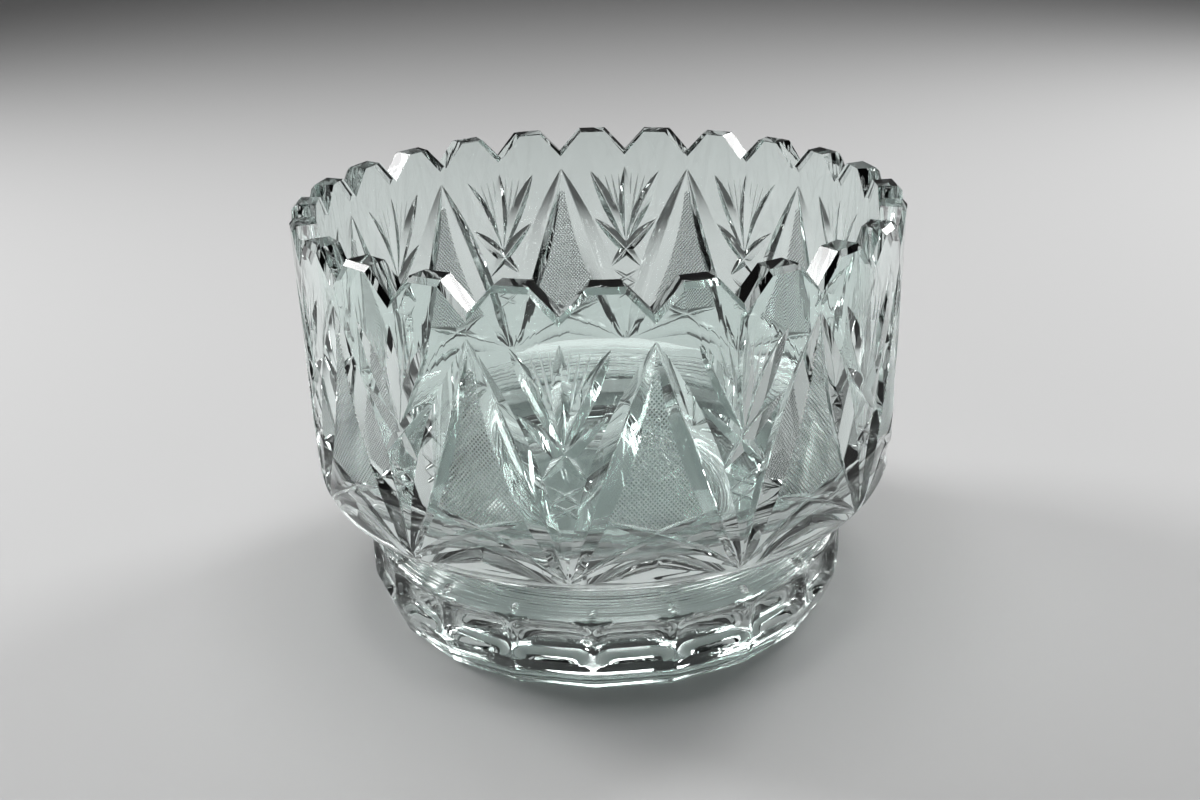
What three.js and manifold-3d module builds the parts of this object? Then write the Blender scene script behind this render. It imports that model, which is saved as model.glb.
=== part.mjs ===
// A footed bowl of cut lead crystal: a thick vessel with a toothed rim and a band of wheel cuts,
// standing on a heavy solid foot that is fused to its underside.
import * as THREE from "three";
import { mergeVertices } from "three/addons/utils/BufferGeometryUtils.js";
import Module from "manifold-3d";

const wasm = await Module();
wasm.setup();

// Vessel, in millimetres, with the axis on Z and the table at z = 0
const rimRadius = 90;
const rimHeight = 126.3;
const rimThickness = 7.3;
const rimChamfer = 1.4;
const wallDraft = 0.4; // how far the outside wall leans in from the rim down to the heel
const floorThickness = 13;
const floorCorner = 13; // radius of the rounded corner between the inside wall and the floor
const heelHeight = 18; // from the foot's seat up to where the straight wall starts
const heelRise = 3; // the underside climbs by this much before the heel curve starts
const heelWidth = 17.6;
const heelSquareness = 2.5; // exponent of the superellipse: 2 is an ellipse, more is squarer

// Foot
const footHeight = 34;
const seatRadius = 60; // the fused seam, and the waist between the foot and the vessel
const footRadius = 75.8;
const baseRadius = 71.9; // at the corners of the bevel round the base
const bevelHeight = 9.5;
const shoulderHeight = 22.5;
const shoulderRound = 3;
const domeRadius = 58; // the shallow dome hollowed into the underside, inside the ring it stands on
const domeHeight = 12;

// Thumbprints round the foot
const thumbprints = 20;
const thumbprintDepth = 3;
const thumbprintHalfWidth = 11.3;
const thumbprintHalfHeight = 6.4;
const thumbprintPower = 4; // 2 gives an oval hollow like a ball's, more gives squarer corners and steeper walls
const thumbprintTurn = -3; // degrees from the front to the nearest thumbprint

// Cut band: panels that repeat round the wall, each a tall triangle with a fan on either side
const panels = 12;
const notchDepth = 7.6;
const notchFlank = 43; // degrees from the notch's centre plane to its side
const bandTopBelowRim = 14.1;
const bandFootAboveSeat = 10.5;
const mitreDepth = 3.3;
const mitreFlank = 57; // degrees from the groove's centre plane to its side
const crossingDepth = 1.1;
const eyeDepth = 1.1;
const eyeFlank = 71;
const petalDepth = 1.6;
const splitDepth = 1.4;
const sproutDepth = 1;

// How round things are divided
const vesselSegments = 72;
const footSegments = 60;
const wheelLift = 2.5; // how far a wheel's flanks reach outside the glass

const seatHeight = footHeight;
const heelTop = seatHeight + heelHeight;
const wallRadius = rimRadius - wallDraft;
const insideRadius = rimRadius - rimThickness;
const floorHeight = seatHeight + floorThickness;
const bandTop = rimHeight - bandTopBelowRim;
const bandFoot = seatHeight + bandFootAboveSeat;
const panelAngle = 360 / panels;

const radians = THREE.MathUtils.degToRad;
const v2 = (x, y) => new THREE.Vector2(x, y);

// Turns an indexed or loose three.js geometry into a solid
function solid(geometry) {
  const bare = geometry.clone();
  for (const name of Object.keys(bare.attributes)) {
    if (name !== "position") bare.deleteAttribute(name);
  }
  const merged = mergeVertices(bare, 1e-4);
  const index = merged.index.array;
  const position = merged.attributes.position.array;
  const kept = [];
  let volume = 0;
  const a = new THREE.Vector3();
  const b = new THREE.Vector3();
  const c = new THREE.Vector3();
  for (let i = 0; i < index.length; i += 3) {
    const [p, q, r] = [index[i], index[i + 1], index[i + 2]];
    if (p === q || q === r || r === p) continue;
    kept.push([p, q, r]);
    a.fromArray(position, 3 * p);
    b.fromArray(position, 3 * q);
    c.fromArray(position, 3 * r);
    volume += a.dot(b.cross(c));
  }
  const order = volume > 0 ? kept : kept.map(([p, q, r]) => [p, r, q]);
  return new wasm.Manifold(new wasm.Mesh({
    numProp: 3,
    vertProperties: new Float32Array(position),
    triVerts: new Uint32Array(order.flat()),
  }));
}

// Turns a solid into a mesh with its own material
function meshOf(name, manifold, material) {
  const { vertProperties, triVerts } = manifold.getMesh();
  const geometry = new THREE.BufferGeometry();
  geometry.setAttribute("position", new THREE.BufferAttribute(vertProperties, 3));
  geometry.setIndex(new THREE.BufferAttribute(triVerts, 1));
  geometry.computeVertexNormals();
  const mesh = new THREE.Mesh(geometry, material);
  mesh.name = name;
  return mesh;
}

// Turns an outline of [radius, height] points about the Z axis
function turned(outline, segments, startAngle = 0) {
  const geometry = new THREE.LatheGeometry(outline, segments, radians(startAngle));
  return solid(geometry.rotateX(Math.PI / 2));
}

// A closed solid through a row of sections that have the same number of points
function loft(sections) {
  const count = sections[0].length;
  const position = sections.flat().flatMap((p) => [p.x, p.y, p.z]);
  const index = [];
  for (let s = 0; s + 1 < sections.length; s += 1) {
    for (let k = 0; k < count; k += 1) {
      const next = (k + 1) % count;
      const [a, b] = [s * count + k, s * count + next];
      index.push(a, b, b + count, a, b + count, a + count);
    }
  }
  const last = (sections.length - 1) * count;
  for (let k = 1; k + 1 < count; k += 1) {
    index.push(0, k + 1, k, last, last + k, last + k + 1);
  }
  const geometry = new THREE.BufferGeometry();
  geometry.setAttribute("position", new THREE.Float32BufferAttribute(position, 3));
  geometry.setIndex(index);
  return solid(geometry);
}

// A point given by its angle from the front, its distance from the axis and its height
function polar(angle, radius, height) {
  const a = radians(angle);
  return new THREE.Vector3(radius * Math.sin(a), -radius * Math.cos(a), height);
}

// Outside radius of the vessel at a height: a superellipse heel under a wall with a slight draft
function outsideRadius(height) {
  if (height >= heelTop) {
    const rise = (height - heelTop) / (rimHeight - heelTop);
    return wallRadius + wallDraft * rise;
  }
  const drop = Math.min((heelTop - height) / (heelHeight - heelRise), 1);
  const reach = (1 - drop ** heelSquareness) ** (1 / heelSquareness);
  return wallRadius - heelWidth + heelWidth * reach;
}

function vesselOutline() {
  const points = [v2(0, seatHeight), v2(seatRadius, seatHeight)];
  const heelSteps = 6;
  for (let i = 0; i <= heelSteps; i += 1) {
    const t = (i / heelSteps) * (Math.PI / 2);
    const reach = Math.sin(t) ** (2 / heelSquareness);
    const drop = Math.cos(t) ** (2 / heelSquareness);
    points.push(v2(wallRadius - heelWidth * (1 - reach), heelTop - (heelHeight - heelRise) * drop));
  }
  points.push(v2(rimRadius, rimHeight - rimChamfer), v2(rimRadius - rimChamfer, rimHeight));
  points.push(v2(insideRadius, rimHeight));
  const cornerSteps = 4;
  for (let i = 0; i <= cornerSteps; i += 1) {
    const t = (i / cornerSteps) * (Math.PI / 2);
    const reach = floorCorner * Math.cos(t);
    points.push(v2(insideRadius - floorCorner + reach, floorHeight + floorCorner * (1 - Math.sin(t))));
  }
  points.push(v2(0, floorHeight));
  return points;
}

// A V notch through the rim wall; it widens outwards so that its outside edge is chamfered
function rimNotch(angle) {
  const sections = [
    [insideRadius - rimChamfer, 0],
    [rimRadius - rimChamfer, 0],
    [rimRadius + rimChamfer, 2 * rimChamfer],
  ].map(([radius, widening]) => {
    const flank = radians(notchFlank);
    const bottom = rimHeight - notchDepth - widening / Math.sin(flank);
    const top = rimHeight + rimChamfer;
    const halfWidth = (top - bottom) * Math.tan(flank);
    const across = polar(angle + 90, halfWidth, 0);
    const centre = polar(angle, radius, top);
    return [polar(angle, radius, bottom), centre.clone().add(across), centre.clone().sub(across)];
  });
  return loft(sections);
}

// A point of the cut band: u runs from -1 to 1 across a panel, v from 0 at its foot to 1 at its top
function bandPoint(centreAngle, u, v) {
  const height = bandFoot + v * (bandTop - bandFoot);
  const angle = centreAngle + (u * panelAngle) / 2;
  return polar(angle, outsideRadius(height), height);
}

// Outward direction of the vessel's surface at a point
function outwardAt(point) {
  const step = 0.5;
  const slope = (outsideRadius(point.z + step) - outsideRadius(point.z - step)) / (2 * step);
  const radius = Math.hypot(point.x, point.y);
  return new THREE.Vector3(point.x / radius, point.y / radius, -slope).normalize();
}

// A V groove ground by a wheel: its spine sinks below the surface in one long arc, from tip to tip,
// along the curve through the points from, via and to of the band
function wheelCut(centreAngle, { from, via, to, depth, flank, steps }) {
  const [start, middle, end] = [from, via, to].map(([u, v]) => v2(u, v));
  const control = middle.clone().multiplyScalar(2).addScaledVector(start, -0.5).addScaledVector(end, -0.5);
  const curve = new THREE.QuadraticBezierCurve(start, control, end);
  const overrun = 0.03;
  const places = Array.from({ length: steps + 1 }, (_, i) => (i / steps) * (1 + 2 * overrun) - overrun);
  const sections = places.map((s) => {
    const here = curve.getPoint(s);
    const ahead = curve.getPoint(s + 0.01);
    const point = bandPoint(centreAngle, here.x, here.y);
    const outward = outwardAt(point);
    const along = bandPoint(centreAngle, ahead.x, ahead.y).sub(point).normalize();
    const across = new THREE.Vector3().crossVectors(outward, along).normalize();
    const sink = depth * (1 - (2 * s - 1) ** 2);
    const halfWidth = (sink + wheelLift) * Math.tan(radians(flank));
    const spine = point.clone().addScaledVector(outward, -sink);
    const top = point.clone().addScaledVector(outward, wheelLift);
    return [
      spine,
      top.clone().addScaledVector(across, halfWidth),
      top.clone().addScaledVector(across, -halfWidth),
    ];
  });
  return loft(sections);
}

// The cuts of one panel, centred on its triangle; side is -1 or 1
const triangleCuts = [-1, 1].flatMap((side) => [
  { from: [0, 1], via: [0.5 * side, 0.5], to: [side, 0], depth: mitreDepth, flank: mitreFlank, steps: 4 },
  { from: [-side, 0], via: [-0.2 * side, 0.175], to: [0.58 * side, 0.28],
    depth: crossingDepth, flank: mitreFlank, steps: 4 },
  { from: [-side, -0.01], via: [-0.22 * side, 0.105], to: [0.5 * side, 0.17],
    depth: eyeDepth, flank: eyeFlank, steps: 4 },
]);

// The cuts of one fan, centred between two triangles
const fanCuts = [
  { from: [0, 0.58], via: [0, 0.79], to: [0, 1], depth: petalDepth, flank: mitreFlank, steps: 3 },
  ...[-1, 1].flatMap((side) => [
    { from: [0, 0.58], via: [0.25 * side, 0.785], to: [0.54 * side, 0.98],
      depth: petalDepth, flank: mitreFlank, steps: 3 },
    { from: [0.49 * side, 0.72], via: [0.1 * side, 0.59], to: [-0.25 * side, 0.45],
      depth: splitDepth, flank: mitreFlank, steps: 3 },
    { from: [0, 0.01], via: [0.13 * side, 0.09], to: [0.26 * side, 0.18],
      depth: sproutDepth, flank: mitreFlank, steps: 2 },
  ]),
];

function makeVessel() {
  let vessel = turned(vesselOutline(), vesselSegments);
  for (let panel = 0; panel < panels; panel += 1) {
    const triangleAngle = panel * panelAngle;
    const fanAngle = triangleAngle + panelAngle / 2;
    const wheels = [
      rimNotch(triangleAngle),
      rimNotch(fanAngle),
      ...triangleCuts.map((cut) => wheelCut(triangleAngle, cut)),
      ...fanCuts.map((cut) => wheelCut(fanAngle, cut)),
    ];
    for (const wheel of wheels) vessel = vessel.subtract(wheel);
  }
  return vessel;
}

function footOutline() {
  const points = [v2(0, domeHeight)];
  const domeSteps = 6;
  for (let i = 1; i <= domeSteps; i += 1) {
    const t = (i / domeSteps) * (Math.PI / 2);
    points.push(v2(domeRadius * Math.sin(t), i < domeSteps ? domeHeight * Math.cos(t) : 0));
  }
  points.push(v2(baseRadius, 0), v2(footRadius, bevelHeight), v2(footRadius, shoulderHeight));
  const shoulder = v2(footRadius - shoulderRound, shoulderHeight + shoulderRound);
  points.push(v2(footRadius - shoulderRound * 0.3, shoulderHeight + shoulderRound * 0.7), shoulder);
  const cove = new THREE.QuadraticBezierCurve(
    shoulder,
    v2(seatRadius + shoulderRound, shoulder.y + shoulderRound / 2),
    v2(seatRadius, footHeight),
  );
  points.push(...cove.getPoints(4).slice(1), v2(0, footHeight));
  return points;
}

// A many-sided cone whose flat sides bevel the foot round its base
function bevelCone() {
  const slope = (footRadius - baseRadius) / bevelHeight;
  const below = 1;
  const above = footHeight + 1;
  const corner = thumbprintTurn + 180 / thumbprints;
  const outline = [
    v2(0, -below),
    v2(baseRadius - below * slope, -below),
    v2(baseRadius + above * slope, above),
    v2(0, above),
  ];
  return turned(outline, thumbprints, corner);
}

// A rounded rectangle ground into the foot: from its middle to its edge, where s is 1, it gets
// shallower with a power of s
function thumbprint(angle) {
  const middleHeight = (bevelHeight + shoulderHeight + shoulderRound) / 2;
  const rings = [0.2, 0.55, 0.75, 0.88, 1, 1.15];
  const corners = 16;
  const sections = rings.map((s) => Array.from({ length: corners }, (_, k) => {
    const t = (k / corners) * 2 * Math.PI;
    const norm = (Math.abs(Math.cos(t)) ** thumbprintPower + Math.abs(Math.sin(t)) ** thumbprintPower)
      ** (1 / thumbprintPower);
    const across = (thumbprintHalfWidth * s * Math.cos(t)) / norm;
    const upward = (thumbprintHalfHeight * s * Math.sin(t)) / norm;
    const depth = thumbprintDepth * (1 - s ** thumbprintPower);
    const turn = THREE.MathUtils.radToDeg(across / footRadius);
    return polar(angle + turn, footRadius - depth, middleHeight + upward);
  }));
  return loft(sections);
}

function makeFoot() {
  let foot = turned(footOutline(), footSegments, thumbprintTurn).intersect(bevelCone());
  for (let i = 0; i < thumbprints; i += 1) {
    foot = foot.subtract(thumbprint(thumbprintTurn + (i * 360) / thumbprints));
  }
  return foot;
}

const crystal = { color: 0xe9f2ef, roughness: 0.02, metalness: 0 };
const bowl = new THREE.Group();
bowl.add(meshOf("vessel", makeVessel(), new THREE.MeshStandardMaterial(crystal)));
bowl.add(meshOf("foot", makeFoot(), new THREE.MeshStandardMaterial({ ...crystal, color: 0xdfeae6 })));

export default bowl;
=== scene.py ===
"""Dresses a footed bowl of cut lead crystal: one clear, wheel-cut body on a pale studio floor.

Fields hold lengths in metres and angles in degrees, unless a comment says otherwise.
"""

import logging
import math
from dataclasses import dataclass, field, replace
from enum import Enum

import bpy
import numpy as np
from mathutils import Matrix, Vector

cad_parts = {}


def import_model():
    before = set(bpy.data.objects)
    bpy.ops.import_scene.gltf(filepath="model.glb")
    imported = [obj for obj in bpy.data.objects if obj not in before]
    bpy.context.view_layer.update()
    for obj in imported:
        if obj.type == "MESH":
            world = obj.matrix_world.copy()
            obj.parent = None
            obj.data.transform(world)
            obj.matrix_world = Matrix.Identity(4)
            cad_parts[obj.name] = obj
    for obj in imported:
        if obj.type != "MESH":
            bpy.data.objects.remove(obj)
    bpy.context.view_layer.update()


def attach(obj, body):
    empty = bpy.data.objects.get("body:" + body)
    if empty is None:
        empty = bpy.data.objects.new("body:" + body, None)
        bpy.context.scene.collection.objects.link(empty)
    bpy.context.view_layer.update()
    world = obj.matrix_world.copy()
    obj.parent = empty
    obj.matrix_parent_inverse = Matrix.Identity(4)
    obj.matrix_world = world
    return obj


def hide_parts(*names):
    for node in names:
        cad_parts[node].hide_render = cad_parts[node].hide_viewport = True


LOG = logging.getLogger("cut_crystal_bowl")
MM = 0.001
TURN = 2 * math.pi
CLEAN_DIGITS = 9  # decimals kept of a sine or cosine, so that a quarter turn gives a true zero
FAN_FOCUS = 0.58  # where the petals of a fan meet, as a share of the band's height


class Side(Enum):
    """The two sides of a panel, as seen from outside with the rim up."""

    LEFT = -1
    RIGHT = 1


class Finish(Enum):
    """The two finishes of the crystal, each with its surface roughness."""

    POLISHED = 0.0
    HATCHED = 0.38


class Wheel(Enum):
    """The grinding wheels, each with the angle from its middle plane to its side, in degrees."""

    FINE = 42.0
    FAN = 50.0
    MITRE = 57.0
    BROAD = 71.0


class Work(Enum):
    """What a solid does to the glass, with the name of the Boolean operation."""

    FUSE = "UNION"
    GRIND = "DIFFERENCE"


def fill(node: bpy.types.Node, sockets: dict) -> None:
    """Gives a node's inputs their values.

    Args:
        node: The node.
        sockets: For each input, by name or place, another node's output or a plain value.
    """
    for key, value in sockets.items():
        if isinstance(value, bpy.types.NodeSocket):
            node.id_data.links.new(value, node.inputs[key])
        else:
            node.inputs[key].default_value = value


def new_node(tree: bpy.types.NodeTree, kind: str, sockets: dict,
             **options: str) -> bpy.types.NodeOutputs:
    """Adds a node to a material.

    Args:
        tree: The material's nodes.
        kind: The kind of node, without what the names of all shader nodes begin with.
        sockets: What its inputs get.
        **options: Its own settings.

    Returns:
        The node's outputs.
    """
    made = tree.nodes.new(f"ShaderNode{kind}")
    for name, option in options.items():
        setattr(made, name, option)
    fill(made, sockets)
    return made.outputs


def polar(angle: np.ndarray, radius: np.ndarray, height: np.ndarray) -> np.ndarray:
    """Places points round the axis.

    The formula in words: x is the radius times the sine of the angle and y is minus the radius
    times its cosine, so that angle 0 is the front, on -Y, and angles grow towards +X.

    Args:
        angle: Angles from the front, in radians.
        radius: Distances from the axis.
        height: Heights above the table.

    Returns:
        An array of points whose last axis is x, y, z.
    """
    angle, radius, height = np.broadcast_arrays(angle, radius, height)
    return np.stack([radius * np.sin(angle), -radius * np.cos(angle), height], axis=-1)


def turned_copies(points: np.ndarray, angles: np.ndarray) -> np.ndarray:
    """Repeats points round the axis.

    The formula in words: a copy's x is the cosine of its angle times x less the sine times y, its
    y is the sine times x plus the cosine times y, and z stays.

    Args:
        points: Points with any leading axes.
        angles: One turn about +Z for each copy, in radians.

    Returns:
        The copies, stacked on a new first axis.
    """
    c, s = np.cos(angles), np.sin(angles)
    zero, one = np.zeros_like(c), np.ones_like(c)
    turns = np.stack([c, -s, zero, s, c, zero, zero, zero, one], axis=-1).reshape(-1, 3, 3)
    return np.einsum("nij,...j->n...i", turns, points)


def ring_walls(index: np.ndarray) -> np.ndarray:
    """The faces between each closed ring of points and the next.

    The formula in words: each face joins two neighbours on one ring to the same two on the next.

    Args:
        index: Vertex indices, with the rings on the last axis but one and their corners on the
            last.

    Returns:
        Rows of four vertex indices.
    """
    after = np.roll(index, -1, axis=-1)
    corners = [index[..., :-1, :], after[..., :-1, :], after[..., 1:, :], index[..., 1:, :]]
    return np.stack(corners, axis=-1).reshape(-1, 4)


def new_object(name: str, data: bpy.types.ID) -> bpy.types.Object:
    """Makes an object of its data and puts it into the scene.

    Args:
        name: Name of the object.
        data: Its mesh, lamp or camera.

    Returns:
        The object.
    """
    made = bpy.data.objects.new(name, data)
    bpy.context.scene.collection.objects.link(made)
    return made


def mesh_object(name: str, points: np.ndarray, faces: list[np.ndarray]) -> bpy.types.Object:
    """Makes a mesh object from arrays, with its faces turned outwards.

    The formula in words: six times the volume is the sum, over the triangles that fan out from
    each face's first corner, of the triple product of their corners. Where it is negative, every
    face is turned over.

    Args:
        name: Name of the object and its mesh.
        points: Vertex positions, in metres.
        faces: Arrays of vertex indices, with one row for a face. The rows of one array have one
            length.

    Returns:
        The linked object.
    """
    points = points.reshape(-1, 3)
    volume = 0.0
    for rows in faces:
        first, second, third = points[rows[:, 0]], points[rows[:, 1:-1]], points[rows[:, 2:]]
        volume += float(np.einsum("ni,nki->", first, np.cross(second, third)))
    if volume < 0:
        faces = [rows[:, ::-1] for rows in faces]
    sizes = np.concatenate([np.full(len(rows), rows.shape[1]) for rows in faces])
    corners = np.concatenate([rows.ravel() for rows in faces])
    mesh = bpy.data.meshes.new(name)
    mesh.vertices.add(len(points))
    mesh.vertices.foreach_set("co", points.astype(np.float32).ravel())
    mesh.loops.add(len(corners))
    mesh.loops.foreach_set("vertex_index", corners.astype(np.int32))
    mesh.polygons.add(len(sizes))
    mesh.polygons.foreach_set("loop_start", (np.cumsum(sizes) - sizes).astype(np.int32))
    mesh.update(calc_edges=True)
    mesh.validate()
    return new_object(name, mesh)


def column_of(items: bpy.types.bpy_prop_collection, name: str, kind: type,
              width: int = 1) -> np.ndarray:
    """Reads one value of every item of a mesh.

    Args:
        items: The mesh's vertices, edges, loops or polygons.
        name: Name of the value.
        kind: Type of its numbers.
        width: How many numbers it has.

    Returns:
        One row for each item, or a flat array where the width is 1.
    """
    values = np.empty(len(items) * width, kind)
    items.foreach_get(name, values)
    return values.reshape(-1, width) if width > 1 else values


def lofted(name: str, sections: np.ndarray) -> bpy.types.Object:
    """Makes closed solids, each through a row of closed sections.

    Args:
        name: Name of the object.
        sections: Points with the axes solid, section, corner, coordinate.

    Returns:
        One object that holds every solid.
    """
    index = np.arange(sections[..., 0].size).reshape(sections.shape[:3])
    caps = np.concatenate([index[:, 0, ::-1], index[:, -1]])
    return mesh_object(name, sections, [ring_walls(index), caps])


def ringed(name: str, rings: np.ndarray, poles: tuple[float, float]) -> bpy.types.Object:
    """Closes a stack of rings with one pole point at each end.

    Args:
        name: Name of the object.
        rings: Points with the axes ring, corner, coordinate.
        poles: Heights on the axis before the first ring and after the last one.

    Returns:
        The closed solid.
    """
    index = np.arange(rings[..., 0].size).reshape(rings.shape[:2])
    after = np.roll(index, -1, axis=1)
    pole = np.full_like(index[0], index.size)
    first = np.stack([pole, after[0], index[0]], axis=-1)
    last = np.stack([pole + 1, index[-1], after[-1]], axis=-1)
    ends = np.array([[0, 0, poles[0]], [0, 0, poles[1]]])
    points = np.concatenate([rings.reshape(-1, 3), ends])
    return mesh_object(name, points, [ring_walls(index), np.concatenate([first, last])])


def arc(centre: tuple[float, float], radii: tuple[float, float], start: float, end: float,
        steps: int, squareness: float = 2.0) -> np.ndarray:
    """Points on a quarter of a superellipse, or on part of it.

    The formula in words: the offset along each axis is its radius times the cosine or sine of the
    angle, raised to the power of two over the squareness, with its sign kept.

    Args:
        centre: Radius and height of the centre.
        radii: Half axes along the radius and the height.
        start: First angle, in degrees, from outwards to upwards.
        end: Last angle, in degrees.
        steps: Number of stretches between points.
        squareness: 2 gives an ellipse, and more gives a squarer corner.

    Returns:
        Rows of radius and height.
    """
    t = np.radians(np.linspace(start, end, steps + 1))
    unit = np.stack([np.cos(t), np.sin(t)], axis=-1)
    unit = np.sign(unit) * np.abs(np.round(unit, CLEAN_DIGITS)) ** (2 / squareness)
    return np.array(centre) + unit * np.array(radii)


def bend(start: np.ndarray, control: np.ndarray, end: np.ndarray, share: np.ndarray) -> np.ndarray:
    """Points on a quadratic curve.

    The formula in words: with done for the share of the way and left for the rest of it, a point
    is the start times left squared, plus the control point times twice done times left, plus the
    end times done squared.

    Args:
        start: First point.
        control: Point that pulls the middle of the curve towards it.
        end: Last point.
        share: Shares of the way, 0 at the start and 1 at the end.

    Returns:
        One point for each share.
    """
    t = share[:, None]
    return (1 - t) ** 2 * start + 2 * t * (1 - t) * control + t**2 * end


@dataclass
class Vessel:
    """The deep bowl: a thick wall, a rounded floor corner and a squarish heel."""

    rim_radius: float = 90 * MM
    rim_height: float = 126.3 * MM
    rim_thickness: float = 7.3 * MM
    rim_chamfer: float = 1.4 * MM
    wall_draft: float = 0.4 * MM
    seat_height: float = 34 * MM
    seat_radius: float = 60.3 * MM
    floor_thickness: float = 13 * MM
    floor_corner: float = 13 * MM
    floor_corner_steps: int = 14
    floor_rings: tuple[float, ...] = (0.0, 0.3, 0.6)  # as shares of the inside radius
    heel_height: float = 18 * MM
    heel_rise: float = 3 * MM
    heel_width: float = 17.6 * MM
    heel_squareness: float = 2.5
    heel_steps: int = 18

    @property
    def heel_top(self) -> float:
        """Height where the heel curve meets the straight wall."""
        return self.seat_height + self.heel_height

    @property
    def wall_radius(self) -> float:
        """Outside radius at the top of the heel."""
        return self.rim_radius - self.wall_draft

    @property
    def inside_radius(self) -> float:
        """Radius of the inside wall."""
        return self.rim_radius - self.rim_thickness

    def outside(self, height: np.ndarray) -> np.ndarray:
        """Outside radius at given heights.

        The formula in words: above the heel the radius grows in a straight line to the rim, and
        below it follows a quarter of a superellipse.

        Args:
            height: Heights above the table.

        Returns:
            Distances from the axis.
        """
        rise = (height - self.heel_top) / (self.rim_height - self.heel_top)
        wall = self.wall_radius + self.wall_draft * np.maximum(rise, 0)
        depth = self.heel_height - self.heel_rise
        drop = np.clip((self.heel_top - height) / depth, 0, 1)
        reach = (1 - drop**self.heel_squareness) ** (1 / self.heel_squareness)
        return wall - self.heel_width * (1 - reach)

    def inside_outline(self) -> np.ndarray:
        """The outline from the middle of the floor up to the top of the rim.

        Returns:
            Rows of radius and height.
        """
        floor = self.seat_height + self.floor_thickness
        corner = self.floor_corner
        centre = (self.inside_radius - corner, floor + corner)
        rounded = arc(centre, (corner, corner), -90, 0, self.floor_corner_steps)
        flat = np.array([[share * self.inside_radius, floor] for share in self.floor_rings])
        rim = np.array([[self.inside_radius, self.rim_height]])
        return np.concatenate([flat, rounded, rim])

    def outside_outline(self) -> np.ndarray:
        """The outline from the rim's chamfer down to the seat of the foot.

        Returns:
            Rows of radius and height.
        """
        chamfer = self.rim_chamfer
        rim = np.array([[self.rim_radius - chamfer, self.rim_height],
                        [self.rim_radius, self.rim_height - chamfer]])
        centre = (self.wall_radius - self.heel_width, self.heel_top)
        radii = (self.heel_width, self.heel_height - self.heel_rise)
        heel = arc(centre, radii, 0, -90, self.heel_steps, self.heel_squareness)
        seat = np.array([[self.seat_radius, self.seat_height], [0, self.seat_height]])
        return np.concatenate([rim, heel, seat])


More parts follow.
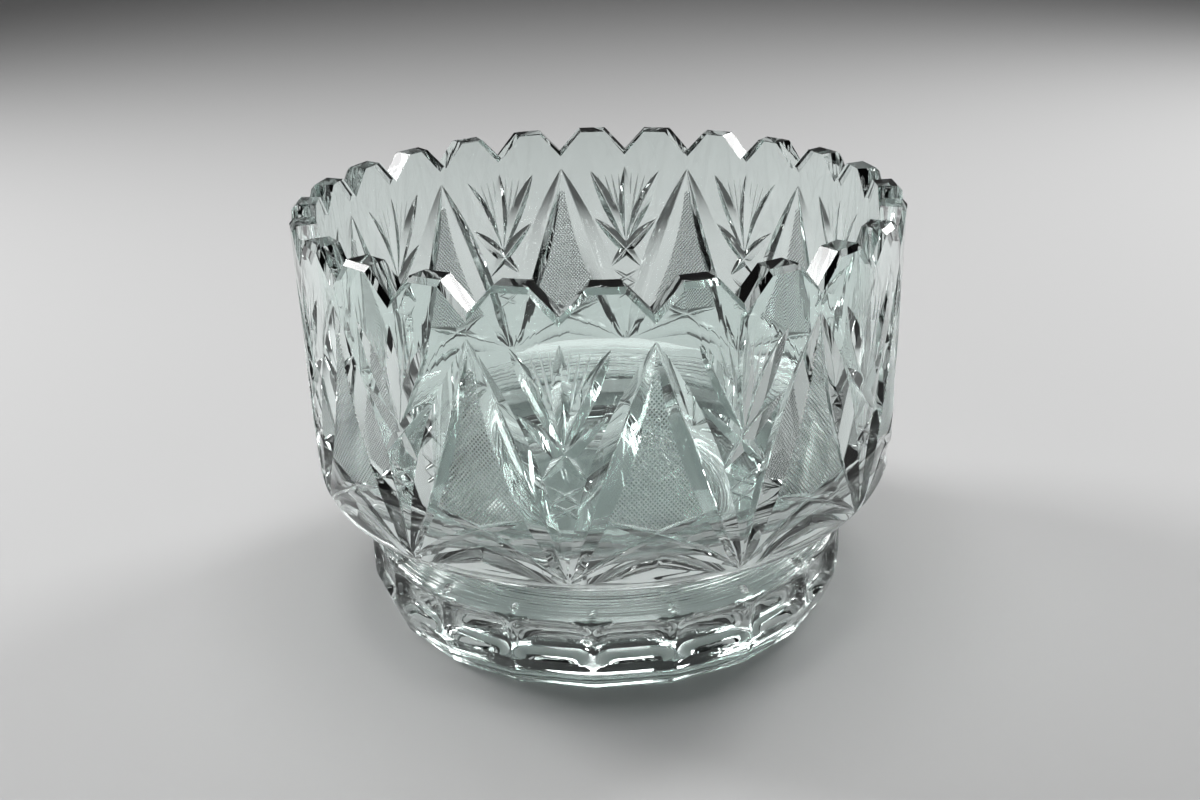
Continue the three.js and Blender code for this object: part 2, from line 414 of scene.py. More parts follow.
@dataclass
class Foot:
    """The heavy foot: a waist, a cove, thumbprints, a flat-sided bevel and a shallow dome.

    A plug on it reaches up inside the vessel's floor, so that the two fuse into one body.
    """

    seat_radius: float = 60 * MM
    foot_radius: float = 75.8 * MM
    base_radius: float = 71.9 * MM
    bevel_height: float = 9.5 * MM
    shoulder_height: float = 22.5 * MM
    shoulder_round: float = 3 * MM
    shoulder_steps: int = 5
    cove_steps: int = 9
    dome_radius: float = 58 * MM
    dome_height: float = 12 * MM
    dome_steps: int = 9
    plug_top: float = 4 * MM
    plug_top_inset: float = 3 * MM
    plug_side: float = 0.6 * MM
    plug_side_inset: float = 0.3 * MM
    thumbprints: int = 20
    thumbprint_depth: float = 3 * MM
    thumbprint_half_width: float = 11.3 * MM
    thumbprint_half_height: float = 6.4 * MM
    thumbprint_middle: float = 17.5 * MM
    thumbprint_turn: float = -3.0
    thumbprint_squareness: float = 4.0
    thumbprint_steepness: float = 4.0
    polish: float = 0.5 * MM
    cusp_radius: float = 72.8 * MM
    cusp_height: float = 1.5 * MM
    cusp_half_width: float = 1.1 * MM
    cusp_reach: float = 2.3 * MM
    columns: int = 16
    crowding: float = 0.6
    rows: int = 24

    @property
    def half_pitch(self) -> float:
        """Half the angle from one thumbprint to the next, in radians."""
        return math.pi / self.thumbprints

    def outline(self, seat_height: float) -> tuple[np.ndarray, np.ndarray]:
        """The turned outline, from the plug down to the base and up into the dome.

        Args:
            seat_height: Height where foot and vessel are fused.

        Returns:
            Rows of radius and height between the two poles, and a flag for each row that the
            thumbprints and the bevel reach.
        """
        plug = np.array([[self.seat_radius - self.plug_top_inset, seat_height + self.plug_top],
                         [self.seat_radius - self.plug_side_inset, seat_height + self.plug_side]])
        rounding = self.shoulder_round
        centre = (self.foot_radius - rounding, self.shoulder_height)
        shoulder = arc(centre, (rounding, rounding), 90, 0, self.shoulder_steps)
        start = np.array([self.seat_radius, seat_height])
        control = np.array([self.seat_radius + rounding, shoulder[0, 1] + rounding / 2])
        cove = bend(start, control, shoulder[0], np.linspace(0, 1, self.cove_steps + 1))[:-1]
        height = np.linspace(self.shoulder_height, self.polish, self.rows)[1:]
        side = np.stack([np.full_like(height, self.foot_radius), height], axis=-1)
        edge = np.array([[self.foot_radius - self.polish, 0]])
        dome = arc((0, 0), (self.dome_radius, self.dome_height), 0, 90, self.dome_steps)[:-1]
        cut = [shoulder, side, edge]
        lengths = [len(plug) + len(cove), sum(map(len, cut)), len(dome)]
        return np.concatenate([plug, cove, *cut, dome]), np.repeat([False, True, False], lengths)

    def ground_radius(self, angle: np.ndarray, radius: np.ndarray,
                      height: np.ndarray) -> np.ndarray:
        """The radius after the bevel flats and the thumbprints are ground.

        The formula in words: a bevel flat's radius is its distance from the axis over the cosine
        of the angle from its middle, and the smaller of it and the turned radius is kept. At the
        base's edge the flat is set in by as much as the turned radius is. A thumbprint's depth is
        its full depth times one less s raised to the steepness. For s, each offset from its middle
        over its half size is raised to the squareness, and s is that root of their sum. Both
        choices are blended over a small width, as polishing does.

        Args:
            angle: Angle from the middle of the nearest thumbprint, in radians.
            radius: Turned radius.
            height: Height above the table.

        Returns:
            The ground radius.
        """
        slope = (self.foot_radius - self.base_radius) / self.bevel_height
        flat = (self.base_radius + height * slope) * math.cos(self.half_pitch) / np.cos(angle)
        flat = flat - np.where(height < self.polish / 2, self.foot_radius - radius, 0)
        kept = (radius + flat - np.sqrt((radius - flat) ** 2 + self.polish**2)) / 2
        across = np.abs(angle) * self.foot_radius / self.thumbprint_half_width
        upward = np.abs(height - self.thumbprint_middle) / self.thumbprint_half_height
        power = self.thumbprint_squareness
        s = (across**power + upward**power) ** (1 / power)
        depth = self.thumbprint_depth * (1 - s**self.thumbprint_steepness)
        return kept - (depth + np.sqrt(depth**2 + self.polish**2)) / 2

    def cusp(self, angle: np.ndarray, radius: np.ndarray) -> np.ndarray:
        """The rise of the small pointed cusp left on the shoulder between two thumbprints.

        The formula in words: the rise falls in a straight line from the cusp's point to nothing,
        both across the ridge between the thumbprints and along the radius.

        Args:
            angle: Angle from the middle of the nearest thumbprint, in radians.
            radius: Turned radius.

        Returns:
            Heights to add.
        """
        across = (self.half_pitch - np.abs(angle)) * self.foot_radius / self.cusp_half_width
        along = np.abs(radius - self.cusp_radius) / self.cusp_reach
        return self.cusp_height * np.maximum(1 - across, 0) * np.maximum(1 - along, 0)

    def blank(self, seat_height: float) -> bpy.types.Object:
        """The closed solid of the foot, with its bevel, thumbprints and cusps.

        The formula in words: a column's angle from the middle of its thumbprint is half the pitch
        times a mix of the even share and the sine of the share's quarter turn, so that columns
        crowd towards the ridges.

        Args:
            seat_height: Height where foot and vessel are fused.

        Returns:
            The solid.
        """
        outline, reached = self.outline(seat_height)
        share = np.linspace(-1, 1, self.columns, endpoint=False)
        mixed = (1 - self.crowding) * share + self.crowding * np.sin(math.pi * share / 2)
        near = self.half_pitch * mixed
        turns = 2 * self.half_pitch * np.arange(self.thumbprints)
        turns = math.radians(self.thumbprint_turn) + turns
        angle = (turns[:, None] + near).ravel()
        offset = np.tile(near, self.thumbprints)[None, :]
        radius, height = outline[:, :1], outline[:, 1:]
        ground = self.ground_radius(offset, radius, height)
        height = height + self.cusp(offset, radius)
        rings = polar(angle[None, :], np.where(reached[:, None], ground, radius), height)
        return ringed("foot", rings, (seat_height + self.plug_top, self.dome_height))


@dataclass(frozen=True)
class WheelCut:
    """A V groove ground along a curve of the band, deepest at the middle of its length.

    Places are given as u, from -1 to 1 across a panel, and v, from 0 at the band's foot to 1 at
    its top.
    """

    name: str
    start: tuple[float, float]
    via: tuple[float, float]
    end: tuple[float, float]
    depth: float
    wheel: Wheel = Wheel.MITRE
    rounding: float = 0.12 * MM
    steps: int = 14

    @property
    def rise(self) -> float:
        """How far the groove's flank rises for each step away from its spine."""
        return 1 / math.tan(math.radians(self.wheel.value))

    def mirrored(self, side: Side) -> "WheelCut":
        """The same cut on one side of the panel.

        Args:
            side: The side, which is added to the name.

        Returns:
            The cut, mirrored for the left side.
        """
        start, via, end = ((side.value * u, v) for u, v in (self.start, self.via, self.end))
        name = f"{self.name}_{side.name.lower()}"
        return replace(self, name=name, start=start, via=via, end=end)


@dataclass
class CutBand:
    """The band of cuts: twelve tall hatched triangles with a fan between each two."""

    vessel: Vessel
    panels: int = 12
    top_below_rim: float = 14.1 * MM
    foot_above_seat: float = 10.5 * MM
    slope_step: float = 0.5 * MM
    lift: float = 2.5 * MM
    overrun: float = 0.03  # how far a wheel runs past each end, as a share of the cut's length
    groove_columns: tuple[float, ...] = (-3.0, -1.2, 0.0, 1.2, 3.0)  # in widths of the rounding
    notch_depth: float = 7.6 * MM
    notch_flank: float = 43.0
    hatch_across: float = 1.2 * MM
    hatch_along: float = 1.42 * MM
    hatch_depth: float = 0.3 * MM
    hatch_flat: float = 0.5  # a diamond's share of its cell, each way
    hatch_graze: float = 0.03 * MM  # how deep the diamonds lie
    hatch_extent: float = 1.3  # how far cells are looked for, in sizes of the band
    hatch_middle: float = 0.6  # this and the next three are shares of the band's height
    hatch_top: float = 0.88
    hatch_foot: float = 0.205
    hatch_foot_rise: float = 0.14
    rays_per_gap: int = 4
    ray_spread: float = 0.54
    ray_start: float = 0.3
    ray_top: float = 0.985
    ray_fall: float = 0.035
    ray_depth: float = 0.42 * MM
    ray_rounding: float = 0.02 * MM
    ray_steps: int = 8
    triangle_cuts: list[WheelCut] = field(default_factory=lambda: [
        WheelCut("mitre", start=(0, 1), via=(0.5, 0.5), end=(1, 0), depth=3.3 * MM, steps=20),
        WheelCut("crossing", start=(-1, 0), via=(-0.2, 0.175), end=(0.58, 0.28), depth=1.1 * MM),
        WheelCut("eye", start=(-1, -0.01), via=(-0.22, 0.105), end=(0.5, 0.17), depth=1.1 * MM,
                 wheel=Wheel.BROAD, rounding=0.5 * MM),
    ])
    fan_cuts: list[WheelCut] = field(default_factory=lambda: [
        WheelCut("side_petal", start=(0, FAN_FOCUS), via=(0.25, 0.785), end=(0.54, 0.98),
                 depth=2.0 * MM, wheel=Wheel.FAN),
        WheelCut("split", start=(0.49, 0.72), via=(0.1, 0.59), end=(-0.25, 0.45),
                 depth=1.8 * MM, wheel=Wheel.FAN),
        WheelCut("sprout", start=(0, 0.01), via=(0.13, 0.09), end=(0.26, 0.18),
                 depth=1.3 * MM, wheel=Wheel.FAN, steps=12),
        WheelCut("upper_lattice", start=(-0.22, 0.435), via=(0, 0.39), end=(0.22, 0.345),
                 depth=0.4 * MM, steps=10),
        WheelCut("lower_lattice", start=(-0.2, 0.366), via=(0, 0.325), end=(0.2, 0.284),
                 depth=0.4 * MM, steps=10),
    ])
    middle_petal: WheelCut = WheelCut("middle_petal", start=(0, FAN_FOCUS), via=(0, 0.79),
                                      end=(0, 1), depth=2.0 * MM, wheel=Wheel.FAN)

    @property
    def half_panel(self) -> float:
        """Half the angle of a panel, in radians."""
        return math.pi / self.panels

    @property
    def half_width(self) -> float:
        """Half the width of a panel, round the rim."""
        return self.half_panel * self.vessel.rim_radius

    @property
    def half_cell(self) -> tuple[float, float]:
        """Half the size of a hatched cell, as steps of u and v."""
        tall = self.height(1.0) - self.height(0.0)
        return self.hatch_across / 2 / self.half_width, self.hatch_along / 2 / tall

    def height(self, v: np.ndarray | float) -> np.ndarray | float:
        """Heights above the table of places in the band, which grow evenly with v."""
        foot = self.vessel.seat_height + self.foot_above_seat
        return foot + v * (self.vessel.rim_height - self.top_below_rim - foot)

    def place(self, u: np.ndarray, v: np.ndarray) -> np.ndarray:
        """Points on the wall at places of the band, with the panel at the front."""
        height = self.height(v)
        return polar(u * self.half_panel, self.vessel.outside(height), height)

    def outward(self, u: np.ndarray, v: np.ndarray) -> np.ndarray:
        """Unit normals of the wall, with the panel at the front.

        The formula in words: the radius's change over a short step of height is the slope, and the
        normal points along the radius and down by that slope.

        Args:
            u: Places across the panel, from -1 to 1.
            v: Places up the band, from 0 to 1.

        Returns:
            Directions whose last axis is x, y, z.
        """
        height, step = self.height(v), self.slope_step
        change = self.vessel.outside(height + step) - self.vessel.outside(height - step)
        slope = change / (2 * step)
        normal = polar(u * self.half_panel, np.ones_like(slope), -slope)
        return normal / np.linalg.norm(normal, axis=-1, keepdims=True)

    def grooves(self, cut: WheelCut, angles: np.ndarray) -> bpy.types.Object:
        """The solids that grind one cut into every panel.

        The formula in words: the spine follows a quadratic curve on the wall and sinks by the full
        depth times one less the square of the distance from the cut's middle. Across the spine the
        groove's floor rises as a hyperbola, with the flank's slope and a small rounding.

        Args:
            cut: The cut, for a panel at the front.
            angles: The turn of each panel, in radians.

        Returns:
            One object with a solid for each panel.
        """
        s = np.linspace(-self.overrun, 1 + self.overrun, cut.steps + 1)
        start, via, end = (np.array(p, dtype=float) for p in (cut.start, cut.via, cut.end))
        u, v = bend(start, 2 * via - 0.5 * start - 0.5 * end, end, s).T
        point, normal = self.place(u, v), self.outward(u, v)
        across = np.cross(normal, np.gradient(point, axis=0))
        across /= np.linalg.norm(across, axis=-1, keepdims=True)
        sink = cut.depth * (1 - (2 * s - 1) ** 2)
        half = (sink + self.lift + cut.rounding) / cut.rise
        inner = np.array(self.groove_columns) * (cut.rounding / cut.rise)
        inner = np.tile(inner, (len(s), 1))
        offset = np.concatenate([-half[:, None], inner, half[:, None]], axis=1)
        level = np.sqrt((offset * cut.rise) ** 2 + cut.rounding**2) - cut.rounding - sink[:, None]
        level[:, [0, -1]] = self.lift
        sections = point[:, None] + across[:, None] * offset[..., None]
        sections = sections + normal[:, None] * level[..., None]
        return lofted(cut.name, turned_copies(sections, angles))

    def notches(self) -> bpy.types.Object:
        """V wedges through the rim wall.

        The formula in words: a wedge's half width is its height times the tangent of its flank.
        From one chamfer inside the rim's outside to one chamfer beyond it, its tip sinks by twice
        the chamfer over the sine of the flank, which chamfers the notch's outside edge.

        Returns:
            One object with a wedge for each notch.
        """
        vessel = self.vessel
        flank = math.radians(self.notch_flank)
        chamfer = vessel.rim_chamfer
        radius = np.array([vessel.inside_radius - chamfer, vessel.rim_radius - chamfer,
                           vessel.rim_radius + chamfer])
        widening = np.array([0, 0, 2 * chamfer])
        top = vessel.rim_height + chamfer
        bottom = vessel.rim_height - self.notch_depth - widening / math.sin(flank)
        half = (top - bottom) * math.tan(flank)
        tip = np.stack([0 * radius, -radius, bottom], axis=-1)
        left = np.stack([-half, -radius, 0 * radius + top], axis=-1)
        right = np.stack([half, -radius, 0 * radius + top], axis=-1)
        angles = np.arange(2 * self.panels) * self.half_panel
        wedge = np.stack([tip, right, left], axis=1)
        return lofted("rim_notches", turned_copies(wedge, angles))

    def mitre_depth(self, u: np.ndarray, v: np.ndarray) -> np.ndarray:
        """How deep the nearer mitre lies under places of the wall.

        The formula in words: the depth is the mitre's sink at the nearest point of its straight
        spine, less the distance from the spine over the tangent of its flank. Beyond the spine it
        is the mitre's full depth.

        Args:
            u: Places across the panel, from -1 to 1.
            v: Places up the band, from 0 to 1.

        Returns:
            Depths, which are negative outside the mitre.
        """
        mitre = self.triangle_cuts[0]
        length = np.array([self.half_width, self.height(0.0) - self.height(1.0)])
        down = self.height(v) - self.height(1.0)
        offset = np.stack([np.abs(u) * self.half_width, down], axis=-1)
        s = np.clip(offset @ length / (length @ length), 0, 1)
        distance = np.linalg.norm(offset - s[..., None] * length, axis=-1)
        sink = mitre.depth * 4 * s * (1 - s)
        depth = sink - distance * mitre.rise
        beyond = offset[..., 0] * length[1] - offset[..., 1] * length[0] < 0
        return np.where(beyond, mitre.depth, depth)

    def lattice(self, row: np.ndarray, column: np.ndarray) -> np.ndarray:
        """Places of the hatching's diamond lattice.

        The formula in words: u grows by half a cell with the row and with the column, and v grows
        by half a cell with the row and falls by half a cell with the column.

        Args:
            row: Steps along one family of grooves.
            column: Steps along the other.

        Returns:
            Places whose last axis is u, v.
        """
        du, dv = self.half_cell
        u, v = (row + column) * du, self.hatch_middle + (row - column) * dv
        return np.stack([u, v], axis=-1)

    def hatched_cells(self) -> tuple[np.ndarray, np.ndarray]:
        """The cells of the hatched field.

        The formula in words: a cell belongs to the field unless the mitres beside it or the
        crossing cuts below it grind it away whole, so that the field's ragged edge is never left.

        Returns:
            The row and the column of each cell.
        """
        reach = int(self.hatch_extent / min(self.half_cell) / 2)
        steps = np.arange(-reach, reach + 1)
        row, column = np.meshgrid(steps, steps, indexing="ij")
        u, v = np.moveaxis(self.lattice(row, column), -1, 0)
        hidden = self.hatch_depth + self.hatch_across / 2 * self.triangle_cuts[0].rise
        inside = self.mitre_depth(u, v) < hidden
        inside &= (v > self.hatch_foot + self.hatch_foot_rise * np.abs(u)) & (v < self.hatch_top)
        return row[inside], column[inside]

    def sunk(self, place: np.ndarray, depth: float) -> np.ndarray:
        """Points that lie under the wall by a depth, or over it where the depth is negative."""
        u, v = place.T
        return self.place(u, v) - depth * self.outward(u, v)

    def hatching(self, angles: np.ndarray) -> bpy.types.Object:
        """A die whose face is the hatched field, with a small polished diamond in each cell.

        The formula in words: the grooves cross on a diamond lattice at their full depth, and each
        cell's flat top has its corners on the lines from the cell's middle to the crossings, at a
        fixed share of the way.

        Args:
            angles: The turn of each panel, in radians.

        Returns:
            One object with a die for each panel.
        """
        row, column = self.hatched_cells()
        corner = np.stack([row, column, row + 1, column, row + 1, column + 1, row, column + 1],
                          axis=-1).reshape(-1, 2)
        nodes, index = np.unique(corner, axis=0, return_inverse=True)
        index = index.reshape(-1, 4)
        crossing = self.lattice(nodes[:, 0] - 0.5, nodes[:, 1] - 0.5)
        middle = self.lattice(row, column)[:, None]
        flat = middle + self.hatch_flat * (crossing[index] - middle)
        points = np.concatenate([self.sunk(crossing, self.hatch_depth),
                                 self.sunk(flat.reshape(-1, 2), self.hatch_graze),
                                 self.sunk(crossing, -self.lift)])
        tops = len(nodes) + np.arange(flat[..., 0].size).reshape(-1, 4)
        after, tops_after = np.roll(index, -1, axis=1), np.roll(tops, -1, axis=1)
        sides = np.stack([index, after, tops_after, tops], axis=-1).reshape(-1, 4)
        edges = np.stack([index, after], axis=-1).reshape(-1, 2)
        key = edges.min(axis=1) * len(nodes) + edges.max(axis=1)
        _, first, uses = np.unique(key, return_index=True, return_counts=True)
        here, there = edges[first[uses == 1]].T
        back = len(nodes) + tops.size
        walls = np.stack([there, here, here + back, there + back], axis=-1)
        quads = np.concatenate([sides, tops, walls, index[:, ::-1] + back])
        shift = (np.arange(len(angles)) * len(points))[:, None, None]
        copies = (quads[None] + shift).reshape(-1, 4)
        made = mesh_object("hatching_die", turned_copies(points, angles), [copies])
        slots = np.repeat([0, 1, 0], [len(sides), len(tops), len(walls) + len(index)])
        slots = np.tile(slots, len(angles)).astype(np.int32)
        made.data.polygons.foreach_set("material_index", slots)
        return made

    def rays(self, angles: np.ndarray) -> list[bpy.types.Object]:
        """Fine rays that fan out between the petals, from near the focus to under their tips.

        The formula in words: the rays' tips share the gap evenly and sink a little towards its
        side, and each ray starts at a fixed share of the way from the focus to its tip.

        Args:
            angles: The turn of each fan, in radians.

        Returns:
            One object for each ray of a fan, with a solid for each fan.
        """
        made = []
        for side in Side:
            for count in range(1, self.rays_per_gap + 1):
                share = count / (self.rays_per_gap + 1)
                end = (self.ray_spread * share, self.ray_top - self.ray_fall * share)
                start = (self.ray_start * end[0],
                         FAN_FOCUS + self.ray_start * (end[1] - FAN_FOCUS))
                via = ((start[0] + end[0]) / 2, (start[1] + end[1]) / 2)
                ray = WheelCut(f"ray_{count}", start, via, end, self.ray_depth, Wheel.FINE,
                               self.ray_rounding, self.ray_steps)
                made.append(self.grooves(ray.mirrored(side), angles))
        return made

    def wheels(self) -> list[tuple[bpy.types.Object, Finish]]:
        """Every cutting solid of the band.

        Returns:
            The solids and the finishes that they leave, in the order of grinding.
        """
        triangles = 2 * self.half_panel * np.arange(self.panels)
        fans = triangles + self.half_panel
        fine = [self.hatching(triangles), *self.rays(fans)]
        deep = []
        for cuts, angles in ((self.triangle_cuts, triangles), (self.fan_cuts, fans)):
            deep += [self.grooves(cut.mirrored(side), angles) for cut in cuts for side in Side]
        deep += [self.grooves(self.middle_petal, fans), self.notches()]
        finishes = [Finish.HATCHED] * len(fine) + [Finish.POLISHED] * len(deep)
        return list(zip(fine + deep, finishes))


@dataclass(frozen=True)
class CrystalFinish:
    """Clear lead crystal: faintly wavy from its polish, with fine turning rings at the waist.

    The pattern follows the object's own coordinates. The waist is given by its two heights.
    """

    finish: Finish
    waist: tuple[float, float]
    tint: tuple[float, float, float, float] = (0.89, 0.965, 0.945, 1.0)
    ior: float = 1.545
    wave_size: float = 9 * MM
    wave_detail: float = 1.0
    wave_strength: float = 0.1
    wave_relief: float = 0.25 * MM
    ring_size: float = 1.3 * MM
    ring_detail: float = 2.0
    ring_strength: float = 1.0
    ring_relief: float = 0.8 * MM
    ring_fade: float = 0.86

    def material(self) -> bpy.types.Material:
        """Builds the node material.

        Returns:
            The material, named for its finish.
        """
        made = bpy.data.materials.new(f"{self.finish.name.lower()}_lead_crystal")
        made.use_nodes = True
        tree = made.node_tree
        place = new_node(tree, "TexCoord", {})["Object"]
        fill(tree.nodes["Principled BSDF"], {
            "Base Color": self.tint,
            "Roughness": self.finish.value,
            "IOR": self.ior,
            "Transmission Weight": 1.0,
            "Normal": self.turning(tree, place, self.waviness(tree, place)),
        })
        return made

    def waviness(self, tree: bpy.types.NodeTree,
                 place: bpy.types.NodeSocket) -> bpy.types.NodeSocket:
        """The broad, faint waviness that polishing leaves.

        Args:
            tree: The material's nodes.
            place: The object's own coordinates.

        Returns:
            The wavy normal.
        """
        waves = new_node(tree, "TexNoise", {
            "Scale": 1 / self.wave_size, "Detail": self.wave_detail, "Vector": place})
        return new_node(tree, "Bump", {
            "Strength": self.wave_strength, "Distance": self.wave_relief,
            "Height": waves["Fac"]})["Normal"]

    def turning(self, tree: bpy.types.NodeTree, place: bpy.types.NodeSocket,
                surface: bpy.types.NodeSocket) -> bpy.types.NodeSocket:
        """Fine turning rings, which fade out at both ends of the waist.

        The formula in words: the relief is a noise along the distance from the axis less the
        height, and its strength falls smoothly to nothing as the distance from the waist's middle
        nears half the waist's height.

        Args:
            tree: The material's nodes.
            place: The object's own coordinates.
            surface: The normal that the rings are added to.

        Returns:
            The ringed normal.
        """
        parts = new_node(tree, "SeparateXYZ", {"Vector": place})
        height = parts["Z"]
        flat = new_node(tree, "CombineXYZ", {"X": parts["X"], "Y": parts["Y"]})["Vector"]
        radius = new_node(tree, "VectorMath", {0: flat}, operation="LENGTH")["Value"]
        profile = new_node(tree, "Math", {0: radius, 1: height}, operation="SUBTRACT")["Value"]
        rings = new_node(tree, "TexNoise", {
            "Scale": 1 / self.ring_size, "Detail": self.ring_detail, "W": profile},
            noise_dimensions="1D")
        low, high = self.waist
        half = (high - low) / 2
        above = new_node(tree, "Math", {0: height, 1: (low + high) / 2}, operation="SUBTRACT")
        away = new_node(tree, "Math", {0: above["Value"]}, operation="ABSOLUTE")["Value"]
        band = new_node(tree, "MapRange", {
            "Value": away, "From Min": half, "From Max": half * self.ring_fade,
            "To Min": 0.0, "To Max": self.ring_strength}, interpolation_type="SMOOTHSTEP")
        return new_node(tree, "Bump", {
            "Strength": band["Result"], "Distance": self.ring_relief, "Height": rings["Fac"],
            "Normal": surface})["Normal"]


@dataclass
class CrystalBody:
    """The whole bowl as one body of glass, from its turned blank to its last cut.

    Cuts in the band stay crisp, and the polished foot may turn more before an edge is a crease.
    """

    vessel: Vessel
    foot: Foot
    band: CutBand
    segments: int = 240
    band_crease: float = 13.0
    foot_crease: float = 34.0
    foot_below_seat: float = 1 * MM
    waist_start: float = 0.7  # share of the shoulder's rounding where the turning rings begin

    def blank(self, crystal: bpy.types.Material) -> bpy.types.Object:
        """The turned vessel with the foot fused to it, before the band is cut.

        Args:
            crystal: The material of the whole blank.

        Returns:
            The body of the bowl.
        """
        outline = np.concatenate([self.vessel.inside_outline(), self.vessel.outside_outline()])
        angles = np.arange(self.segments) * TURN / self.segments
        rings = polar(angles[None, :], outline[1:-1, :1], outline[1:-1, 1:])
        body = ringed("crystal_bowl", rings, (outline[0, 1], outline[-1, 1]))
        body.data.materials.append(crystal)
        self.work(body, self.foot.blank(self.vessel.seat_height), [crystal], Work.FUSE)
        return body

    def work(self, body: bpy.types.Object, solid: bpy.types.Object,
             finishes: list[bpy.types.Material], task: Work) -> None:
        """Joins a solid to the body, or cuts it away from the body, and removes it.

        Args:
            body: The bowl so far.
            solid: The solid.
            finishes: The materials of the faces that the solid brings.
            task: What the solid does.
        """
        for crystal in finishes:
            solid.data.materials.append(crystal)
        step = body.modifiers.new(solid.name, "BOOLEAN")
        step.operation, step.solver, step.object = task.value, "MANIFOLD", solid
        step.material_mode = "TRANSFER"
        graph = bpy.context.evaluated_depsgraph_get()
        made = bpy.data.meshes.new_from_object(body.evaluated_get(graph))
        body.modifiers.clear()
        old, body.data = body.data, made
        made.name = body.name
        bpy.data.meshes.remove(old)
        bpy.data.objects.remove(solid)

    def set_creases(self, mesh: bpy.types.Mesh) -> None:
        """Shades the faces smooth and marks the edges that stay crisp.

        The formula in words: the angle between the two faces of an edge is the arc cosine of the
        dot product of their normals, and an edge is crisp where it is more than the crease angle.

        Args:
            mesh: The closed mesh of the body, in which every edge has two faces.
        """
        face = np.repeat(np.arange(len(mesh.polygons)),
                         column_of(mesh.polygons, "loop_total", np.int32))
        order = np.argsort(column_of(mesh.loops, "edge_index", np.int32), kind="stable")
        first, second = face[order].reshape(-1, 2).T
        normals = column_of(mesh.polygons, "normal", np.float32, 3)
        alike = (normals[first] * normals[second]).sum(axis=1)
        angle = np.degrees(np.arccos(np.clip(alike, -1, 1)))
        ends = column_of(mesh.edges, "vertices", np.int32, 2)
        top = column_of(mesh.vertices, "co", np.float32, 3)[ends, 2].max(axis=1)
        in_foot = top < self.vessel.seat_height - self.foot_below_seat
        mesh.shade_smooth()
        crease = mesh.attributes.new("sharp_edge", "BOOLEAN", "EDGE")
        limit = np.where(in_foot, self.foot_crease, self.band_crease)
        crease.data.foreach_set("value", angle > limit)

    def build(self) -> bpy.types.Object:
        """Grinds the blank, gives each cut its finish and sets the creases.

        Returns:
            The finished bowl.
        """
        waist_foot = self.foot.shoulder_height + self.waist_start * self.foot.shoulder_round
        waist = (waist_foot, self.band.height(0.0))
        crystal = {finish: CrystalFinish(finish, waist).material() for finish in Finish}
        body = self.blank(crystal[Finish.POLISHED])
        LOG.info("blank: %d faces", len(body.data.polygons))
        for solid, finish in self.band.wheels():
            name = solid.name
            self.work(body, solid, [crystal[finish], crystal[Finish.POLISHED]], Work.GRIND)
            LOG.info("%s: %d faces", name, len(body.data.polygons))
        self.set_creases(body.data)
        return body


@dataclass(frozen=True)
class PaperFinish:
    """Matt pale paper."""

    tone: float = 0.5
    roughness: float = 0.7

    def material(self) -> bpy.types.Material:
        """Builds the node material.

        Returns:
            The material.
        """
        made = bpy.data.materials.new("pale_paper")
        made.use_nodes = True
        fill(made.node_tree.nodes["Principled BSDF"], {
            "Base Color": (self.tone, self.tone, self.tone, 1), "Roughness": self.roughness})
        return made


@dataclass
class StudioFloor:
    """A round sheet of paper that curves up at its edge into a low wall, alike from every side.

    It lies a hair below the foot, because glass that touches it loses the reflections in its base.
    """

    gap: float = 0.05 * MM
    flat_rings: tuple[float, ...] = (0.4, 0.9)
    flat_radius: float = 1.7
    curve_radius: float = 0.6
    curve_steps: int = 16
    wall_top: float = 1.5
    sides: int = 96

    def build(self) -> None:
        """Makes the sheet.

        The formula in words: past the flat part the radius grows by the curve's radius times the
        sine of the bend, and the height by the curve's radius times one less its cosine.
        """
        turn = np.radians(np.linspace(0, 90, self.curve_steps + 1))
        curve, flat = self.curve_radius, np.array(self.flat_rings)
        radius = np.concatenate([flat, self.flat_radius + curve * np.sin(turn),
                                 [self.flat_radius + curve]])
        level = np.concatenate([0 * flat, curve * (1 - np.cos(turn)), [self.wall_top]]) - self.gap
        around = TURN * np.arange(self.sides)[None, :] / self.sides
        rings = polar(around, radius[:, None], level[:, None])
        index = np.arange(rings[..., 0].size).reshape(rings.shape[:2])
        made = mesh_object("studio_floor", rings, [index[:1, ::-1], ring_walls(index)])
        made.data.shade_smooth()
        made.data.materials.append(PaperFinish().material())


@dataclass(frozen=True)
class Lamp:
    """A soft rectangular lamp that points at the bowl and isn't seen itself."""

    name: str
    place: tuple[float, float, float]
    size: tuple[float, float]
    power: float
    aim_height: float = 60 * MM

    def build(self) -> None:
        """Makes the lamp."""
        data = bpy.data.lights.new(self.name, "AREA")
        data.shape, data.size, data.size_y, data.energy = "RECTANGLE", *self.size, self.power
        made = new_object(self.name, data)
        made.location = self.place
        aim = Vector((0, 0, self.aim_height)) - Vector(self.place)
        made.rotation_euler = aim.to_track_quat("-Z", "Y").to_euler()
        made.visible_camera = False


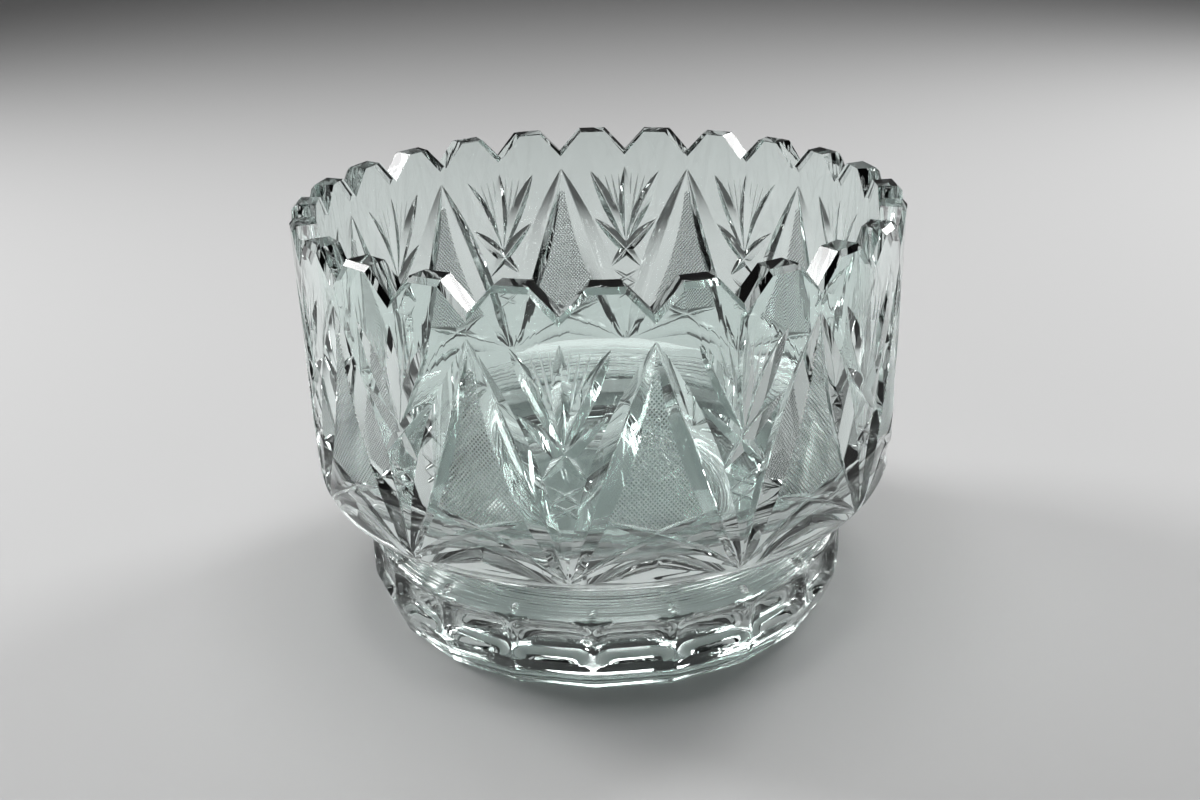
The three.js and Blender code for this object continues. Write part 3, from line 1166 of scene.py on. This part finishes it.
@dataclass
class Studio:
    """The photograph's camera, a pale floor, and a soft lamp behind each shoulder and above."""

    camera_distance: float = 438.3 * MM
    camera_elevation: float = 23.31
    camera_turn: float = -8.3
    camera_roll: float = -1.58
    camera_lens: float = 41.64
    camera_sensor: float = 36.0
    camera_clip: tuple[float, float] = (0.01, 20.0)
    aim_height: float = 58.95 * MM
    aim_aside: float = -0.95 * MM
    world_level: float = 0.03
    floor: StudioFloor = field(default_factory=StudioFloor)
    lamps: tuple[Lamp, ...] = (
        Lamp("left", place=(-0.8, 0.5, 0.7), size=(0.3, 0.7), power=9),
        Lamp("right", place=(0.8, 0.5, 0.7), size=(0.3, 0.7), power=7),
        Lamp("top", place=(0.0, 0.0, 1.2), size=(0.7, 0.7), power=8),
    )

    def camera(self) -> None:
        """Makes the scene's camera, at the photograph's viewing angle.

        The formula in words: the camera stands back from its aim along a direction given by its
        turn and elevation, and its sides are turned about that direction by its roll.
        """
        turn, elevation, roll = (math.radians(a) for a in
                                 (self.camera_turn, self.camera_elevation, self.camera_roll))
        flat = Vector((math.sin(turn), -math.cos(turn), 0))
        back = flat * math.cos(elevation) + Vector((0, 0, math.sin(elevation)))
        right = Vector((math.cos(turn), math.sin(turn), 0))
        up = back.cross(right)
        across = right * math.cos(roll) + up * math.sin(roll)
        upright = up * math.cos(roll) - right * math.sin(roll)
        aim = Vector((0, 0, self.aim_height)) + across * self.aim_aside
        data = bpy.data.cameras.new("camera")
        data.lens, data.sensor_width = self.camera_lens, self.camera_sensor
        data.clip_start, data.clip_end = self.camera_clip
        made = new_object("camera", data)
        turned = Matrix((across, upright, back)).transposed().to_4x4()
        turned.translation = aim + back * self.camera_distance
        made.matrix_world = turned
        bpy.context.scene.camera = made

    def world(self) -> None:
        """Makes the dim, even world."""
        made = bpy.data.worlds.new("studio")
        made.use_nodes = True
        fill(made.node_tree.nodes["Background"], {
            "Color": (1, 1, 1, 1), "Strength": self.world_level})
        bpy.context.scene.world = made

    def build(self) -> None:
        """Sets the whole studio."""
        self.camera()
        self.floor.build()
        for lamp in self.lamps:
            lamp.build()
        self.world()
        bpy.context.scene.view_settings.view_transform = "Standard"


def main() -> None:
    """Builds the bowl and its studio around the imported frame."""
    logging.basicConfig(level=logging.INFO, format="%(name)s: %(message)s")
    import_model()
    vessel, foot = Vessel(), Foot()
    body = CrystalBody(vessel, foot, CutBand(vessel)).build()
    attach(body, "root")
    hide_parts("vessel", "foot")
    LOG.info("%s: %d faces", body.name, len(body.data.polygons))
    Studio().build()


if __name__ == "__main__":
    main()
